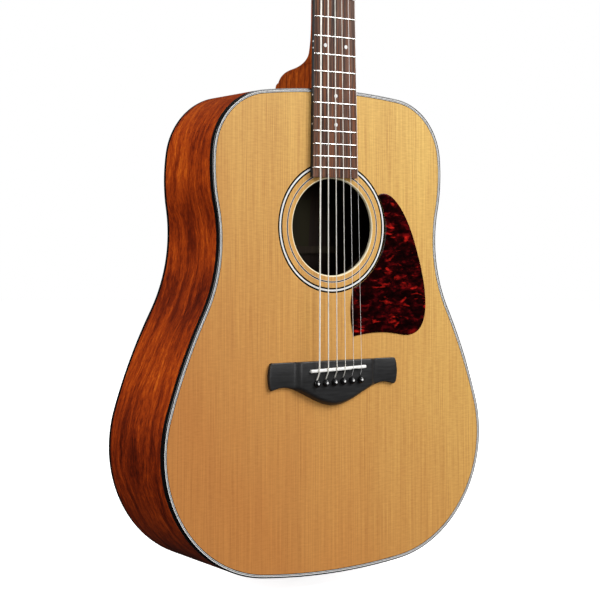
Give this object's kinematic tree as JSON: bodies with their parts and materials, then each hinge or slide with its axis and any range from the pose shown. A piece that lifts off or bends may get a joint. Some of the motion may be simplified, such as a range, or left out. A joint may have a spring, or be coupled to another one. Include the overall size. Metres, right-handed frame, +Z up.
{
  "type": "acoustic guitar",
  "caption": "Steel-string acoustic guitar of dreadnought shape with a hollow braced body, a glued fourteenth-fret neck and geared tuners that turn.",
  "frame": {"origin": "on the centre line at the front edge of the nut, in the plane of the soundboard's face", "axes": "+Z up the neck towards the headstock, -Y out of the soundboard towards the listener, +X towards the treble strings and the pickguard"},
  "size_m": [0.4084, 0.1385, 1.0577],
  "materials": {
    "spruce_top": "satin lacquer over straight grained spruce",
    "mahogany": "gloss lacquer over ribbon striped mahogany",
    "neck_mahogany": "satin lacquer over mahogany",
    "lining_wood": "bare mahogany and basswood",
    "spruce_brace": "bare sanded spruce",
    "maple": "bare maple",
    "rosewood": "oiled rosewood",
    "ebony": "satin black hardwood",
    "black_binding": "gloss black celluloid",
    "white_purfling": "off-white celluloid",
    "tortoise": "dark red tortoise pattern",
    "bone": "polished bone white",
    "black_plastic": "moulded black",
    "brass": "plain brass",
    "fret_wire": "polished nickel silver",
    "steel": "zinc plated steel",
    "steel_string": "plain steel wire",
    "bronze_string": "phosphor bronze wound wire",
    "chrome": "bright chrome plate"
  },
  "bodies": {
    "root": {"soundboard": "spruce_top", "back_plate": "mahogany", "sides": "mahogany", "linings": "lining_wood", "front_binding": "black_binding", "back_binding": "black_binding", "purfling_white": "white_purfling", "purfling_black": "black_binding", "neck_block": "lining_wood", "tail_block": "lining_wood", "x_braces": "spruce_brace", "tone_braces": "spruce_brace", "transverse_brace": "spruce_brace", "back_braces": "spruce_brace", "back_strip": "spruce_brace", "bridge_plate": "maple", "rosette_white": "white_purfling", "rosette_black": "black_binding", "pickguard": "tortoise", "bridge": "ebony", "saddle": "bone", "bridge_pins": "black_plastic", "pin_dots": "white_purfling", "ball_ends": "brass", "neck": "neck_mahogany", "headstock": "neck_mahogany", "headstock_veneer": "ebony", "heel_cap": "black_binding", "fretboard": "rosewood", "frets": "fret_wire", "position_dots": "white_purfling", "nut": "bone", "truss_rod": "steel", "truss_cover": "black_plastic", "headstock_screws": "chrome", "end_pin": "black_plastic", "tail_graft": "black_binding", "tuner_housings": "chrome", "tuner_bushings": "chrome", "wound_strings": "bronze_string", "plain_strings": "steel_string"},
    "truss_nut": {"truss_nut": "brass"},
    "tuner_1": {"button_1": "chrome", "worm_1": "steel"},
    "post_1": {"post_1": "chrome"},
    "tuner_2": {"button_2": "chrome", "worm_2": "steel"},
    "post_2": {"post_2": "chrome"},
    "tuner_3": {"button_3": "chrome", "worm_3": "steel"},
    "post_3": {"post_3": "chrome"},
    "tuner_4": {"button_4": "chrome", "worm_4": "steel"},
    "post_4": {"post_4": "chrome"},
    "tuner_5": {"button_5": "chrome", "worm_5": "steel"},
    "post_5": {"post_5": "chrome"},
    "tuner_6": {"button_6": "chrome", "worm_6": "steel"},
    "post_6": {"post_6": "chrome"}
  },
  "joints": [
    {"name": "truss_nut_turn", "type": "hinge", "parent": "root", "child": "truss_nut", "pos_m": [0, 0.0045, 0.009], "axis": [0, 0, 1], "range_deg": [-180, 180]},
    {"name": "tuner_1_turn", "type": "hinge", "parent": "root", "child": "tuner_1", "pos_m": [-0.0255, 0.02981, 0.04601], "axis": [-1, 0, 0], "continuous": true},
    {"name": "post_1_turn", "type": "hinge", "parent": "root", "child": "post_1", "pos_m": [-0.0255, 0.00919, 0.04187], "axis": [0, -0.9703, 0.2419], "continuous": true},
    {"name": "tuner_2_turn", "type": "hinge", "parent": "root", "child": "tuner_2", "pos_m": [-0.0245, 0.03997, 0.08676], "axis": [-1, 0, 0], "continuous": true},
    {"name": "post_2_turn", "type": "hinge", "parent": "root", "child": "post_2", "pos_m": [-0.0245, 0.01935, 0.08262], "axis": [0, -0.9703, 0.2419], "continuous": true},
    {"name": "tuner_3_turn", "type": "hinge", "parent": "root", "child": "tuner_3", "pos_m": [-0.0235, 0.05013, 0.12751], "axis": [-1, 0, 0], "continuous": true},
    {"name": "post_3_turn", "type": "hinge", "parent": "root", "child": "post_3", "pos_m": [-0.0235, 0.02951, 0.12338], "axis": [0, -0.9703, 0.2419], "continuous": true},
    {"name": "tuner_4_turn", "type": "hinge", "parent": "root", "child": "tuner_4", "pos_m": [0.0235, 0.05013, 0.12751], "axis": [1, 0, 0], "continuous": true},
    {"name": "post_4_turn", "type": "hinge", "parent": "root", "child": "post_4", "pos_m": [0.0235, 0.02951, 0.12338], "axis": [0, -0.9703, 0.2419], "continuous": true},
    {"name": "tuner_5_turn", "type": "hinge", "parent": "root", "child": "tuner_5", "pos_m": [0.0245, 0.03997, 0.08676], "axis": [1, 0, 0], "continuous": true},
    {"name": "post_5_turn", "type": "hinge", "parent": "root", "child": "post_5", "pos_m": [0.0245, 0.01935, 0.08262], "axis": [0, -0.9703, 0.2419], "continuous": true},
    {"name": "tuner_6_turn", "type": "hinge", "parent": "root", "child": "tuner_6", "pos_m": [0.0255, 0.02981, 0.04601], "axis": [1, 0, 0], "continuous": true},
    {"name": "post_6_turn", "type": "hinge", "parent": "root", "child": "post_6", "pos_m": [0.0255, 0.00919, 0.04187], "axis": [0, -0.9703, 0.2419], "continuous": true}
  ],
  "couplings": [
    {"joint": "post_1_turn", "follows": "tuner_1_turn", "ratio": 0.071429},
    {"joint": "post_2_turn", "follows": "tuner_2_turn", "ratio": 0.071429},
    {"joint": "post_3_turn", "follows": "tuner_3_turn", "ratio": 0.071429},
    {"joint": "post_4_turn", "follows": "tuner_4_turn", "ratio": 0.071429},
    {"joint": "post_5_turn", "follows": "tuner_5_turn", "ratio": 0.071429},
    {"joint": "post_6_turn", "follows": "tuner_6_turn", "ratio": 0.071429}
  ]
}
